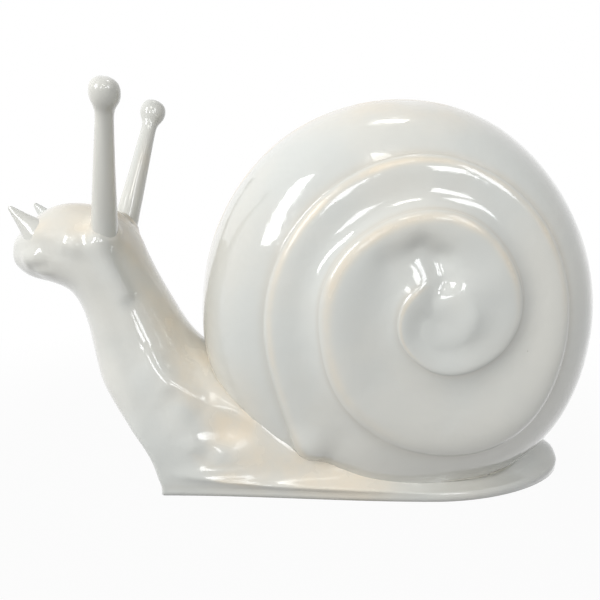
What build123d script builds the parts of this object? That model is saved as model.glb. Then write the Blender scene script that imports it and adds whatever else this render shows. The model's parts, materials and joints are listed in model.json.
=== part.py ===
from build123d import *
import os
from math import cos, radians, sin, sqrt

# A hollow snail ornament in laminated glass fibre. The snail faces -X and stands on its foot at Z = 0.
# Left is the -Y side. The body and the shell are each laminated in two halves that meet at Y = 0.

os.makedirs("parts", exist_ok=True)

# Laminate, joints and cuts
LAMINATE = 4.0
BOND_GAP = 0.3
BOND_LINE = 1.5
BEAD_BREAK = 3.0
OVERRUN = 20.0
TAPE_WIDTH = 36.0
TAPE_THICKNESS = 2.0
TAPE_GAP = 0.6

# Body: foot, neck and head
BODY_LENGTH = 586.0
CROWN_HEIGHT = 284.0
FOOT_HALF_WIDTH = 96.0
RIM_HEIGHT = 8.0
LEDGE_WIDTH = 20.0

# Shell
SHELL_RADIUS = 220.0
SHELL_HALF_WIDTH = 123.0
SHELL_CROWN = 6.0
SHELL_CORE_LAP = 2.0

# Eye stalks, and the threaded rod, washer and nut that pull each one against the head
STALK_LENGTH = 126.0
STALK_BASE_RADIUS = 12.5
STALK_NECK_RADIUS = 8.0
STALK_ROOT = 16.0
KNOB_RADIUS = 13.5
KNOB_CROWN = 14.5
ROD_RADIUS = 3.0
ROD_REACH = 96.0
ROD_TAIL = 4.0
EYE_BOSS_RADIUS = 12.0
EYE_BOSS_DEPTH = 24.0
EYE_WASHER_RADIUS = 7.0
EYE_WASHER_THICKNESS = 1.5
EYE_NUT_FLATS = 10.0
EYE_NUT_HEIGHT = 5.0

# Horns and their pins
HORN_LENGTH = 29.0
HORN_BASE_RADIUS = 12.5
HORN_TIP_RADIUS = 2.5
HORN_ROOT = 12.0
PIN_RADIUS = 2.0
PIN_REACH = 16.0
PIN_DEPTH = 18.0

# Sole board with its screws and threaded inserts
PLATE_THICKNESS = 6.0
PLATE_INSET = 14.0
INSERT_RADIUS = 3.5
INSERT_LENGTH = 6.0
INSERT_BOSS_RADIUS = 8.0
INSERT_COVER = 3.0
SCREW_RADIUS = 2.0
SCREW_EDGE = 6.0
SCREW_HEAD_RADIUS = 3.8
SCREW_HEAD_HEIGHT = 2.6
COUNTERBORE_DEPTH = 3.0

# Sections of the body from the foot's rim to the snout. A row holds the front point (x, z), the back point
# (x, z), the half widths at the front and back corners, and how far along the section those corners lie.
# x is a share of the body's length, z of the height above the rim, the half widths of the foot's.
station_shares = [
    (-0.250, 0.000, 0.483, 0.000, 0.870, 0.995, 0.02, 0.64),
    (-0.260, 0.043, 0.447, 0.058, 0.870, 0.885, 0.03, 0.15),
    (-0.278, 0.123, 0.290, 0.109, 0.860, 0.840, 0.05, 0.28),
    (-0.305, 0.196, 0.102, 0.174, 0.830, 0.810, 0.09, 0.46),
    (-0.338, 0.268, -0.034, 0.275, 0.770, 0.790, 0.20, 0.66),
    (-0.365, 0.348, -0.140, 0.384, 0.700, 0.730, 0.32, 0.64),
    (-0.379, 0.442, -0.195, 0.475, 0.620, 0.640, 0.40, 0.60),
    (-0.387, 0.536, -0.239, 0.630, 0.570, 0.570, 0.42, 0.58),
    (-0.396, 0.612, -0.273, 0.772, 0.540, 0.540, 0.42, 0.58),
    (-0.410, 0.663, -0.309, 0.928, 0.540, 0.540, 0.42, 0.58),
    (-0.427, 0.688, -0.353, 0.989, 0.520, 0.520, 0.42, 0.58),
    (-0.452, 0.707, -0.410, 1.004, 0.470, 0.470, 0.42, 0.58),
    (-0.483, 0.725, -0.457, 0.975, 0.385, 0.385, 0.42, 0.58),
    (-0.505, 0.757, -0.493, 0.913, 0.260, 0.260, 0.42, 0.58),
    (-0.515, 0.801, -0.512, 0.862, 0.115, 0.115, 0.42, 0.58),
]
hollow_stations = 12
ledge_shares = [1.0, 0.5, 0.2]
handle_share = 0.5

# Shell radii as shares of the shell's radius, one for each step of the coil. The groove between the whorls
# winds outwards through two turns. The rim is the outermost whorl's edge over the last turn.
COIL_START = 250.0
COIL_STEP = 30.0
groove_shares = [
    0.175, 0.214, 0.259, 0.311, 0.359, 0.395, 0.445, 0.464, 0.468, 0.477, 0.470, 0.505, 0.550,
    0.605, 0.634, 0.582, 0.566, 0.595, 0.641, 0.680, 0.680, 0.686, 0.702, 0.782, 0.864,
]
rim_shares = [
    0.991, 0.968, 0.930, 0.846, 0.806, 0.815, 0.880, 0.935, 0.978, 0.996, 1.027, 1.086, 1.127,
]
shell_centre_x_share = 0.198
shell_centre_z_share = 0.836
dome_share = 1.055
core_share = 0.168
bulge_share = 0.12
shoulder_radius_share = 0.71
shoulder_depth_share = 0.676
rim_handle_share = 0.5

# Places of the stalks, horns, sole screws and breaks in the adhesive, as shares of the body's sizes, and how
# the stalks and horns lean
stalk_base_shares = (-0.332, 0.423, 0.946)
stalk_lean_shares = (0.198, 0.406)
horn_base_shares = (-0.462, 0.281, 0.917)
horn_lean_shares = (-0.93, 0.11)
screw_shares = [(-0.18, 0.88), (0.07, 0.97), (0.36, 0.78)]
bead_break_shares = [-0.08, 0.02, 0.12, 0.22, 0.32]
stalk_waist_share = 0.825
knob_handle_share = 0.45

steps_per_turn = len(rim_shares) - 1
shell_core = core_share * SHELL_RADIUS
shell_centre = Vector(shell_centre_x_share * BODY_LENGTH, 0, shell_centre_z_share * SHELL_RADIUS)


def section_ends(row):
    """Front and back point of a body section in the plane Y = 0."""
    rise = CROWN_HEIGHT - RIM_HEIGHT
    front = Vector(row[0] * BODY_LENGTH, 0, RIM_HEIGHT + row[1] * rise)
    back = Vector(row[2] * BODY_LENGTH, 0, RIM_HEIGHT + row[3] * rise)
    return front, back


def section_plane(front, back):
    """Plane of a body section, from its front point towards its back point."""
    along = (back - front).normalized()
    return Plane(origin=front, x_dir=along, z_dir=along.cross(Vector(0, 1, 0)))


def body_section(row, inset, front_drop, back_drop, past):
    """Left half of a body section: front curve, side and back curve, inset, with its two ends moved down.

    A half that cuts another runs past the middle plane.
    """
    front, back = section_ends(row)
    upwards = section_plane(front, back).z_dir
    front = front - upwards * front_drop
    back = back - upwards * back_drop
    front_width = inset - row[4] * FOOT_HALF_WIDTH
    back_width = inset - row[5] * FOOT_HALF_WIDTH
    end = (back - front).length - inset
    corner = inset + row[6] * (end - inset)
    widest = inset + row[7] * (end - inset)
    third = (widest - corner) / 3
    with BuildSketch(section_plane(front, back)) as section:
        with BuildLine():
            Bezier(
                (inset, 0),
                (inset, (1 - row[6]) * front_width),
                (inset + handle_share * (corner - inset), front_width),
                (corner, front_width),
            )
            Bezier(
                (corner, front_width),
                (corner + third, front_width),
                (widest - third, back_width),
                (widest, back_width),
            )
            Bezier(
                (widest, back_width),
                (widest + handle_share * (end - widest), back_width),
                (end, handle_share * back_width),
                (end, 0),
            )
            if past:
                Line((end, 0), (end, past))
                Line((inset, past), (inset, 0))
            Line((end, past), (inset, past))
        make_face()
    return section.sketch


def body_form(insets, drop, past):
    """Left half of the body lofted from the floor up, each section drawn inset and moved down by a drop.

    The throat overhangs, so between the first and the last section only the back end moves down.
    """
    floor = RIM_HEIGHT + drop
    front_drops = [drop] + [0] * (len(insets) - 2) + [drop]
    sections = [body_section(station_shares[0], insets[0], floor, floor, past)]
    for row, inset, front_drop in zip(station_shares, insets, front_drops):
        sections.append(body_section(row, inset, front_drop, drop, past))
    with BuildPart() as form:
        loft(sections=sections, clean=False)
    return form.part


def foot_slab(inset, bottom, top, past):
    """Left half of an upright solid with the outline of the foot's rim, drawn inset."""
    outline = body_section(station_shares[0], inset, RIM_HEIGHT - bottom, RIM_HEIGHT - bottom, past)
    with BuildPart() as form:
        extrude(outline, amount=top - bottom)
    return form.part


def outer_body(growth, past):
    """Left half of the body's outer form, grown by a clearance."""
    return body_form([-growth] * len(station_shares), -growth, past)


def cavity(lining, past):
    """Left half of the hollow inside the laminate, less a lining, with a wide ledge left round the foot."""
    ledges = ledge_shares + [0] * (hollow_stations - len(ledge_shares))
    wall = LAMINATE + lining
    return body_form([wall + share * LEDGE_WIDTH for share in ledges], wall, past)


def coil_plane(step):
    """Plane through the shell's axis at one step of the coil: radius along x, depth towards -Y along y."""
    turn = radians(COIL_START + step * COIL_STEP)
    outwards = Vector(cos(turn), 0, sin(turn))
    return Plane(origin=shell_centre, x_dir=outwards, z_dir=outwards.cross(Vector(0, -1, 0)))


def groove_depth(radius):
    """Depth of the groove from the middle plane, on a dome over the shell's side."""
    return (SHELL_HALF_WIDTH - SHELL_CROWN) * sqrt(1 - (radius / (dome_share * SHELL_RADIUS)) ** 2)


def whorl(start, end):
    """Arc from groove to groove that bulges outwards."""
    start = Vector(start)
    end = Vector(end)
    chord = end - start
    middle = (start + end) / 2 + Vector(-chord.Y, chord.X) * bulge_share
    return ThreePointArc(start, middle, end)


def coil_section(step, inset):
    """Half of the shell's section at one step: two inner whorls, the outer whorl and its rim, inset."""
    inner = groove_shares[step] * SHELL_RADIUS
    outer = groove_shares[step + steps_per_turn] * SHELL_RADIUS
    rim = rim_shares[step] * SHELL_RADIUS - inset
    shoulder = outer + shoulder_radius_share * (rim - outer)
    shoulder_depth = shoulder_depth_share * (groove_depth(outer) - inset)
    floor = -OVERRUN if inset else 0
    with BuildSketch(coil_plane(step)) as section:
        with BuildLine():
            Line((shell_core, floor), (shell_core, groove_depth(shell_core) - inset))
            whorl((shell_core, groove_depth(shell_core) - inset), (inner, groove_depth(inner) - inset))
            whorl((inner, groove_depth(inner) - inset), (outer, groove_depth(outer) - inset))
            side = whorl((outer, groove_depth(outer) - inset), (shoulder, shoulder_depth))
            handle = side @ 1 + (side % 1) * rim_handle_share * (rim - shoulder)
            Bezier(side @ 1, handle, (rim, rim_handle_share * shoulder_depth), (rim, 0))
            if inset:
                Line((rim, 0), (rim, floor))
            Line((rim, floor), (shell_core, floor))
        make_face()
    return section.sketch


def core_section(inset):
    """Half section of the shell's domed core, lapping over the start of the first whorl."""
    edge = shell_core + SHELL_CORE_LAP
    top = SHELL_HALF_WIDTH - inset
    floor = -OVERRUN if inset else 0
    with BuildSketch(coil_plane(0)) as section:
        with BuildLine():
            Line((0, floor), (edge, floor))
            Line((edge, floor), (edge, groove_depth(edge) - inset))
            Bezier((edge, groove_depth(edge) - inset), (handle_share * edge, top), (0, top))
            Line((0, top), (0, floor))
        make_face()
    return section.sketch


def shell_form(inset):
    """Left half of the shell's form, drawn inset: two half turns of the coil and a domed core."""
    sections = [coil_section(step, inset) for step in range(steps_per_turn + 1)]
    half = steps_per_turn // 2
    with BuildPart() as form:
        loft(sections=sections[: half + 1])
        loft(sections=sections[half:])
        revolve(core_section(inset), axis=Axis(shell_centre, (0, 1, 0)))
    return form.part


def lean_plane(base, lean):
    """Plane at the foot of the left stalk or horn, with y along its axis and x square to it."""
    foot = Vector(base[0] * BODY_LENGTH, -base[1] * FOOT_HALF_WIDTH, base[2] * CROWN_HEIGHT)
    axis = Vector(lean[0], -lean[1], 1).normalized()
    across = Vector(axis.Z, 0, -axis.X).normalized()
    return Plane(origin=foot, x_dir=across, z_dir=across.cross(axis))


def axis_plane(plane, distance):
    """Plane square to a stalk's or horn's axis, at a distance along it."""
    return Plane(origin=plane.origin + plane.y_dir * distance, x_dir=plane.x_dir, z_dir=plane.y_dir)


def round_bar(plane, radius, start, end):
    """Straight round bar along a stalk's or horn's axis."""
    with BuildPart() as bar:
        with BuildSketch(axis_plane(plane, start)):
            Circle(radius)
        extrude(amount=end - start)
    return bar.part


def save(part, name):
    """Label one finished piece and write it."""
    part.label = name
    export_step(part, f"parts/{name}.step")


def save_pair(part, name):
    """Write a left piece and its mirror image on the right."""
    save(part, f"{name}_left")
    save(mirror(part, about=Plane.XZ), f"{name}_right")


stalk_plane = lean_plane(stalk_base_shares, stalk_lean_shares)
horn_plane = lean_plane(horn_base_shares, horn_lean_shares)
screw_line = PLATE_INSET + SCREW_EDGE
screw_places = [(x * BODY_LENGTH, screw_line - width * FOOT_HALF_WIDTH) for x, width in screw_shares]
boss_places = [(x, y, PLATE_THICKNESS) for x, y in screw_places]
upwards = (Align.CENTER, Align.CENTER, Align.MIN)
body_clear = outer_body(BOND_GAP, OVERRUN)

# Bosses inside the laminate: under the eye stalk and round each threaded insert
with BuildPart() as bosses:
    add(round_bar(stalk_plane, EYE_BOSS_RADIUS, -EYE_BOSS_DEPTH, OVERRUN))
    with Locations(*boss_places):
        Cylinder(INSERT_BOSS_RADIUS, INSERT_LENGTH + INSERT_COVER, align=upwards)
    add(outer_body(-LAMINATE / 2, 0), mode=Mode.INTERSECT)

# Body half: hollow laminate, open below, with a recess for the sole board and holes for inserts, rod and pin
with BuildPart() as body_half:
    add(outer_body(0, 0))
    add(cavity(0, OVERRUN), mode=Mode.SUBTRACT)
    add(bosses.part)
    add(foot_slab(PLATE_INSET, -OVERRUN, PLATE_THICKNESS, OVERRUN), mode=Mode.SUBTRACT)
    with Locations(*boss_places):
        Cylinder(INSERT_RADIUS + BOND_GAP, INSERT_LENGTH, align=upwards, mode=Mode.SUBTRACT)
    rod_hole = round_bar(stalk_plane, ROD_RADIUS + BOND_GAP, -EYE_BOSS_DEPTH - OVERRUN, OVERRUN)
    add(rod_hole, mode=Mode.SUBTRACT)
    pin_hole = round_bar(horn_plane, PIN_RADIUS + BOND_GAP, -PIN_DEPTH, OVERRUN)
    add(pin_hole, mode=Mode.SUBTRACT)
save_pair(body_half.part, "body")

# Laminated strip behind the body's seam: up the throat, round the end of the hollow and down the nape
with BuildPart() as body_seam_tape:
    add(cavity(TAPE_GAP, 0))
    add(cavity(TAPE_GAP + TAPE_THICKNESS, OVERRUN), mode=Mode.SUBTRACT)
    split(bisect_by=Plane.XZ.offset(TAPE_WIDTH / 2), keep=Keep.BOTTOM)
    split(bisect_by=Plane.XY.offset(RIM_HEIGHT), keep=Keep.TOP)
    mirror(about=Plane.XZ)
save(body_seam_tape.part, "body_seam_tape")

# Wall of the shell's left half before its lower edge is trimmed to the body
with BuildPart() as shell_wall:
    add(shell_form(0))
    add(shell_form(LAMINATE), mode=Mode.SUBTRACT)

with BuildPart() as shell_half:
    add(shell_wall.part)
    add(outer_body(BOND_LINE, OVERRUN), mode=Mode.SUBTRACT)
    split(bisect_by=Plane.XY.offset(RIM_HEIGHT), keep=Keep.TOP)
save_pair(shell_half.part, "shell")

# Laminated strip behind the shell's seam
with BuildPart() as shell_seam_tape:
    add(shell_form(LAMINATE + TAPE_GAP))
    add(shell_form(LAMINATE + TAPE_GAP + TAPE_THICKNESS), mode=Mode.SUBTRACT)
    split(bisect_by=Plane.XZ, keep=Keep.TOP)
    split(bisect_by=Plane.XZ.offset(TAPE_WIDTH / 2), keep=Keep.BOTTOM)
    add(body_clear, mode=Mode.SUBTRACT)
    split(bisect_by=Plane.XY.offset(RIM_HEIGHT), keep=Keep.TOP)
    mirror(about=Plane.XZ)
save(shell_seam_tape.part, "shell_seam_tape")

# Adhesive between the shell's lower edge and the body, laid in runs with breaks that let the air out
with BuildPart() as shell_bond_line:
    add(shell_wall.part)
    add(outer_body(BOND_LINE - BOND_GAP, OVERRUN), mode=Mode.INTERSECT)
    add(body_clear, mode=Mode.SUBTRACT)
    split(bisect_by=Plane.XY.offset(RIM_HEIGHT), keep=Keep.TOP)
    with Locations(*[(share * BODY_LENGTH, 0, 0) for share in bead_break_shares]):
        Box(BEAD_BREAK, 2 * SHELL_HALF_WIDTH, 2 * CROWN_HEIGHT, mode=Mode.SUBTRACT)
    mirror(about=Plane.XZ)
save(shell_bond_line.part, "shell_bond_line")

# Eye stalk with its knob, drilled for its rod
with BuildPart() as eye_stalk:
    waist = stalk_waist_share * STALK_LENGTH
    rise = knob_handle_share * (STALK_LENGTH - waist)
    top = STALK_LENGTH + KNOB_CROWN
    with BuildSketch(stalk_plane):
        with BuildLine():
            Line((0, -STALK_ROOT), (STALK_BASE_RADIUS, -STALK_ROOT))
            Line((STALK_BASE_RADIUS, -STALK_ROOT), (STALK_BASE_RADIUS, 0))
            Bezier(
                (STALK_BASE_RADIUS, 0),
                (STALK_NECK_RADIUS, handle_share * waist),
                (STALK_NECK_RADIUS, waist),
            )
            Bezier(
                (STALK_NECK_RADIUS, waist),
                (STALK_NECK_RADIUS, waist + rise),
                (KNOB_RADIUS, STALK_LENGTH - rise),
                (KNOB_RADIUS, STALK_LENGTH),
            )
            Bezier(
                (KNOB_RADIUS, STALK_LENGTH),
                (KNOB_RADIUS, STALK_LENGTH + handle_share * KNOB_CROWN),
                (handle_share * KNOB_RADIUS, top),
                (0, top),
            )
            Line((0, top), (0, -STALK_ROOT))
        make_face()
    revolve(axis=Axis(stalk_plane.origin, stalk_plane.y_dir))
    add(body_clear, mode=Mode.SUBTRACT)
    add(round_bar(stalk_plane, ROD_RADIUS + BOND_GAP, -STALK_ROOT, ROD_REACH), mode=Mode.SUBTRACT)
save_pair(eye_stalk.part, "eye_stalk")

rod_tail = EYE_BOSS_DEPTH + EYE_WASHER_THICKNESS + EYE_NUT_HEIGHT + ROD_TAIL
save_pair(round_bar(stalk_plane, ROD_RADIUS, -rod_tail, ROD_REACH), "eye_rod")

with BuildPart() as eye_washers:
    with BuildSketch(axis_plane(stalk_plane, -EYE_BOSS_DEPTH)):
        Circle(EYE_WASHER_RADIUS)
        Circle(ROD_RADIUS + BOND_GAP, mode=Mode.SUBTRACT)
    extrude(amount=-EYE_WASHER_THICKNESS)
    mirror(about=Plane.XZ)
save(eye_washers.part, "eye_washers")

with BuildPart() as eye_nuts:
    with BuildSketch(axis_plane(stalk_plane, -EYE_BOSS_DEPTH - EYE_WASHER_THICKNESS)):
        RegularPolygon(EYE_NUT_FLATS / 2, 6, major_radius=False)
        Circle(ROD_RADIUS + BOND_GAP, mode=Mode.SUBTRACT)
    extrude(amount=-EYE_NUT_HEIGHT)
    mirror(about=Plane.XZ)
save(eye_nuts.part, "eye_nuts")

# Horn at the snout, drilled for its pin
with BuildPart() as horn:
    taper = (HORN_BASE_RADIUS - HORN_TIP_RADIUS) / HORN_LENGTH
    root_radius = HORN_BASE_RADIUS + taper * HORN_ROOT
    with BuildSketch(horn_plane):
        with BuildLine():
            Line((0, -HORN_ROOT), (root_radius, -HORN_ROOT))
            Line((root_radius, -HORN_ROOT), (HORN_TIP_RADIUS, HORN_LENGTH))
            RadiusArc((HORN_TIP_RADIUS, HORN_LENGTH), (0, HORN_LENGTH + HORN_TIP_RADIUS), -HORN_TIP_RADIUS)
            Line((0, HORN_LENGTH + HORN_TIP_RADIUS), (0, -HORN_ROOT))
        make_face()
    revolve(axis=Axis(horn_plane.origin, horn_plane.y_dir))
    add(body_clear, mode=Mode.SUBTRACT)
    add(round_bar(horn_plane, PIN_RADIUS + BOND_GAP, -HORN_ROOT, PIN_REACH), mode=Mode.SUBTRACT)
save_pair(horn.part, "horn")

save_pair(round_bar(horn_plane, PIN_RADIUS, -PIN_DEPTH, PIN_REACH), "horn_pin")

# Sole board with counterbored holes, its threaded inserts and its screws
with BuildPart() as sole_plate:
    add(foot_slab(PLATE_INSET + BOND_GAP, 0, PLATE_THICKNESS, 0))
    with Locations(*[Location((x, y, 0), (180, 0, 0)) for x, y in screw_places]):
        CounterBoreHole(SCREW_RADIUS + BOND_GAP, SCREW_HEAD_RADIUS + BOND_GAP, COUNTERBORE_DEPTH)
    mirror(about=Plane.XZ)
save(sole_plate.part, "sole_plate")

with BuildPart() as sole_inserts:
    with BuildSketch(Plane.XY.offset(PLATE_THICKNESS)):
        with Locations(*screw_places):
            Circle(INSERT_RADIUS)
            Circle(SCREW_RADIUS + BOND_GAP, mode=Mode.SUBTRACT)
    extrude(amount=INSERT_LENGTH)
    mirror(about=Plane.XZ)
save(sole_inserts.part, "sole_inserts")

with BuildPart() as sole_screws:
    with BuildSketch(Plane.XY.offset(COUNTERBORE_DEPTH)):
        with Locations(*screw_places):
            Circle(SCREW_HEAD_RADIUS)
    extrude(amount=-SCREW_HEAD_HEIGHT)
    with BuildSketch(Plane.XY.offset(COUNTERBORE_DEPTH)):
        with Locations(*screw_places):
            Circle(SCREW_RADIUS)
    extrude(amount=PLATE_THICKNESS + INSERT_LENGTH - BOND_GAP - COUNTERBORE_DEPTH)
    mirror(about=Plane.XZ)
save(sole_screws.part, "sole_screws")
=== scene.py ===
# %% [markdown]
# A snail ornament in glossy white lacquer
#
# The real thing is a hollow form of laminated glass fibre: two body halves, two shell halves, cast eye stalks
# and horns, all sprayed with one glossy white coat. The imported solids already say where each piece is. This
# lesson dresses them: each visible skin is worked out as one array of points, and each finish is built from
# shader nodes. Lengths are in millimetres in the formulas and become metres when a mesh is made.

# %% Frame
import json

import bmesh
import bpy
import numpy as np
from mathutils import Matrix
from mathutils.bvhtree import BVHTree

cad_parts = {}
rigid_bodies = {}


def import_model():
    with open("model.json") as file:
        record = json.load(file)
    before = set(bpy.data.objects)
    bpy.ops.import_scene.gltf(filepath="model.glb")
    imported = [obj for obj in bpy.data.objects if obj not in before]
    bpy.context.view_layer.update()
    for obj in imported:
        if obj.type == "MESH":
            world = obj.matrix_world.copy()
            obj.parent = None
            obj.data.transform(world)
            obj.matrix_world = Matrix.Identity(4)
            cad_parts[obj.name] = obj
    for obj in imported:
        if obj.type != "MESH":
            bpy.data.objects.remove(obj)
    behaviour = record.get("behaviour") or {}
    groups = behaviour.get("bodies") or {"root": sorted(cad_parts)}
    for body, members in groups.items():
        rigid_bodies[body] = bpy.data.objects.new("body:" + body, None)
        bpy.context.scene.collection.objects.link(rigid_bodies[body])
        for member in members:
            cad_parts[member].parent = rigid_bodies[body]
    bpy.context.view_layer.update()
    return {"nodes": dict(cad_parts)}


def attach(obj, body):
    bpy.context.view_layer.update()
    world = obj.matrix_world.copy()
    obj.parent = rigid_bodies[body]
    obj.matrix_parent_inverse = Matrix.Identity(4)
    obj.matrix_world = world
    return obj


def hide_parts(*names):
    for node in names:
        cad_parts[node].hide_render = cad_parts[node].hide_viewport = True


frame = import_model()
MILLIMETRE = 0.001
BODY_LENGTH = 586.0
CROWN_HEIGHT = 284.0
FOOT_HALF_WIDTH = 96.0
print("solids in the frame:", len(frame["nodes"]))

# %% [markdown]
# The camera
#
# The photograph looks at the snail's left side from a little above, with the head towards the left. A lens as
# long as the sensor is wide gives the same perspective: the far eye stalk looks smaller than the near one.

# %% Camera
LENS = 36.0
CAMERA_PLACE = (-0.00315, -0.630, 0.31605)
CAMERA_TILT = 78.0
camera_data = bpy.data.cameras.new("photo_camera")
camera_data.lens = LENS
camera_data.sensor_width = LENS
camera = bpy.data.objects.new("photo_camera", camera_data)
camera.location = CAMERA_PLACE
camera.rotation_euler = (np.radians(CAMERA_TILT), 0.0, 0.0)
scene = bpy.context.scene
scene.collection.objects.link(camera)
bpy.context.scene.camera = camera
print("camera at", tuple(round(value, 3) for value in camera.location))

# %% [markdown]
# Helpers that every skin shares
#
# A smooth skin needs smooth rows, so the few values that are given are joined by a natural cubic spline.
# A skin is then a grid of points, and its faces are four neighbours in the grid. Where many points of a grid
# fall on one pole they are merged, and the normals are turned outwards once the mesh is closed. Hand work is made
# of two things: low waves, and swellings along short lines. A line lies on the left and counts on both sides.

# %% Shared helpers
MERGE_DISTANCE = 0.02 * MILLIMETRE
PLANE_WAVES = 6
TINY = 1e-9
MIRROR = np.array([1.0, -1.0, 1.0])


def natural_spline(knots, values, samples):
    """Natural cubic spline: second derivatives from a tridiagonal system, then a cubic on each span."""
    knots = np.asarray(knots, float)
    values = np.asarray(values, float)
    flat = values.reshape(len(knots), -1)
    gap = np.diff(knots)
    system = np.eye(len(knots))
    right = np.zeros_like(flat)
    inner = np.arange(1, len(knots) - 1)
    system[inner, inner - 1] = gap[:-1]
    system[inner, inner] = 2 * (gap[:-1] + gap[1:])
    system[inner, inner + 1] = gap[1:]
    slope = np.diff(flat, axis=0) / gap[:, None]
    right[inner] = 6 * (slope[1:] - slope[:-1])
    bend = np.linalg.solve(system, right)
    samples = np.asarray(samples, float)
    span = np.clip(np.searchsorted(knots, samples, side="right") - 1, 0, len(gap) - 1)
    width = gap[span][:, None]
    low = (knots[span + 1] - samples)[:, None]
    high = (samples - knots[span])[:, None]
    line = (flat[span] / width - bend[span] * width / 6) * low
    line += (flat[span + 1] / width - bend[span + 1] * width / 6) * high
    cubic = (bend[span] * low**3 + bend[span + 1] * high**3) / (6 * width)
    return (line + cubic).reshape(samples.shape + values.shape[1:])


def smooth_step(low, high, value):
    """Goes from 0 at low to 1 at high along the curve 3t squared less 2t cubed."""
    share = np.clip((value - low) / (high - low), 0, 1)
    return share * share * (3 - 2 * share)


def index_faces(index):
    """Four neighbours in a grid of point numbers as one face."""
    corners = (index[:-1, :-1], index[:-1, 1:], index[1:, 1:], index[1:, :-1])
    return np.stack([corner.ravel() for corner in corners], axis=1)


def ring_faces(points):
    """Faces of a grid of points whose rows are rings: the last column joins the first."""
    rows, columns = points.shape[:2]
    index = np.arange(rows * columns).reshape(rows, columns)
    return index_faces(np.concatenate([index, index[:, :1]], axis=1))


def hand_waves(points, length, seed):
    """Low waves of about a given length: the mean of six plane waves with fixed directions."""
    draw = np.random.default_rng(seed)
    directions = draw.normal(size=(PLANE_WAVES, 3))
    directions /= np.linalg.norm(directions, axis=1, keepdims=True)
    phases = draw.uniform(0, 2 * np.pi, PLANE_WAVES)
    stretch = draw.uniform(0.7, 1.4, PLANE_WAVES)
    waves = np.sin(points @ directions.T * (2 * np.pi / length * stretch) + phases)
    return waves.mean(axis=-1)


def all_waves(points, rows):
    """The sum of several waves. A row holds a height, a length and a seed."""
    return sum(height * hand_waves(points, length, seed) for height, length, seed in rows)


def on_the_left(points):
    """The points folded onto the left side: y becomes less its own size."""
    return points * np.array([1.0, 0.0, 1.0]) - np.abs(points) * np.array([0.0, 1.0, 0.0])


def swelling(points, start, end, radius, height):
    """A soft swelling along a line: height times a bell curve of the distance from it, on both sides."""
    left = on_the_left(points)
    start = np.array(start, float)
    line = np.array(end, float) - start
    along = np.clip((left - start) @ line / max(line @ line, TINY), 0, 1)
    near = np.linalg.norm(left - start - along[..., None] * line, axis=-1)
    return height * np.exp(-((near / radius) ** 2))


def swellings(points, places):
    """The sum of all the named swellings of a table."""
    return sum(swelling(points, *place) for place in places.values())


def skin(name, points, faces, masks):
    """A smooth closed mesh in metres, with masks stored per point and doubles merged."""
    mesh = bpy.data.meshes.new(name)
    mesh.from_pydata((points * MILLIMETRE).tolist(), [], faces.tolist())
    for mask_name, values in masks.items():
        layer = mesh.attributes.new(mask_name, "FLOAT", "POINT")
        layer.data.foreach_set("value", np.asarray(values, np.float32))
    work = bmesh.new()
    work.from_mesh(mesh)
    bmesh.ops.remove_doubles(work, verts=work.verts, dist=MERGE_DISTANCE)
    bmesh.ops.dissolve_degenerate(work, edges=work.edges, dist=0.5 * MERGE_DISTANCE)
    bmesh.ops.recalc_face_normals(work, faces=work.faces)
    open_edges = sum(1 for edge in work.edges if not edge.is_manifold)
    work.to_mesh(mesh)
    work.free()
    mesh.polygons.foreach_set("use_smooth", np.ones(len(mesh.polygons), bool))
    piece = bpy.data.objects.new(name, mesh)
    scene.collection.objects.link(piece)
    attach(piece, "root")
    print(name, "points", len(mesh.vertices), "faces", len(mesh.polygons), "open edges", open_edges)
    return piece


# %% [markdown]
# The shell: one band wound into a coil
#
# The groove between the whorls is a curve whose radius grows with the angle. A whorl is the band between the
# groove at one angle and the groove one turn later, so one long strip covers the whole side, and the inner edge
# of each turn is the outer edge of the turn before. The last turn ends at the rim, where both sides meet. The
# shell could also be lofted from rings, but then the groove would have to be cut into it. Here it is simply where
# the strip meets itself.

# %% Coil edge
SHELL_RADIUS = 220.0
SHELL_CENTRE = np.array([0.198 * BODY_LENGTH, 0.0, 0.836 * SHELL_RADIUS])
COIL_START = 250
COIL_STEP = 30
groove_shares = [
    0.175, 0.214, 0.259, 0.311, 0.359, 0.395, 0.445, 0.464, 0.468, 0.477, 0.470, 0.505, 0.550,
    0.605, 0.634, 0.582, 0.566, 0.595, 0.641, 0.680, 0.680, 0.686, 0.702, 0.782,
]
MOUTH_ANGLE = 955
MOUTH_SHARE = 0.89
RIM_START = 970
rim_shares = [0.991, 0.968, 0.930, 0.846, 0.806, 0.815, 0.880, 0.935, 0.978, 0.996, 1.027, 1.086, 1.127]
TIP_ANGLE = 95.0
tip_angles = [-265.0, -175.0, -85.0, 5.0, TIP_ANGLE, 135.0, 171.0, 216.0]
tip_radii = [0.0, 8.0, 20.0, 33.0, 39.0, 36.0, 33.5, 34.5]
groove_angles = COIL_START + COIL_STEP * np.arange(len(groove_shares))
rim_angles = RIM_START + COIL_STEP * np.arange(len(rim_shares))
edge_angles = np.concatenate([tip_angles, groove_angles, [MOUTH_ANGLE], rim_angles])
edge_radii = np.concatenate([tip_radii, SHELL_RADIUS * np.array(groove_shares + [MOUTH_SHARE] + rim_shares)])
DEGREES_PER_COLUMN = 3
BAND_START = -625
BAND_END = 972
columns_per_turn = 360 // DEGREES_PER_COLUMN
band_angles = np.arange(BAND_START, BAND_END, DEGREES_PER_COLUMN, dtype=float)


def edge_radius(angle):
    """Radius of the coil's edge at a total angle: zero before the tip, then a spline through the set values."""
    radius = natural_spline(edge_angles, edge_radii, np.clip(angle, edge_angles[0], edge_angles[-1]))
    return np.maximum(radius, 0.0)


print("columns along the band", len(band_angles))

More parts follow.
